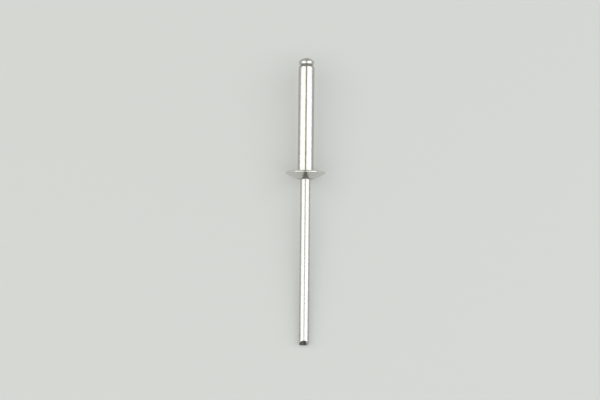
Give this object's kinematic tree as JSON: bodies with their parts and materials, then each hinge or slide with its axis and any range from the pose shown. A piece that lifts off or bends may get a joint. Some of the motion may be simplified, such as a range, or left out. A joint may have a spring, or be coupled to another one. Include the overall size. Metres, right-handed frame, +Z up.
{
  "type": "blind rivet",
  "caption": "Unset open-end blind rivet lying on its side: a hollow body under a thin domed flange, and a headed wire mandrel through it that ends in a pinched nail point.",
  "frame": {"origin": "on the surface that the rivet lies on, at the bottom centre of its bounding box", "axes": "+Z up from that surface; the rivet's axis lies in the YZ plane, 5.11 degrees from +Y, with the mandrel's head raised towards +Y and its point down towards -Y"},
  "size_m": [0.008, 0.0576, 0.008],
  "materials": {
    "body_aluminium": "bright, cold-headed and tumbled",
    "mandrel_steel": "drawn wire, thin bright zinc plating"
  },
  "bodies": {
    "root": {"rivet_body": "body_aluminium", "mandrel": "mandrel_steel"}
  },
  "joints": []
}
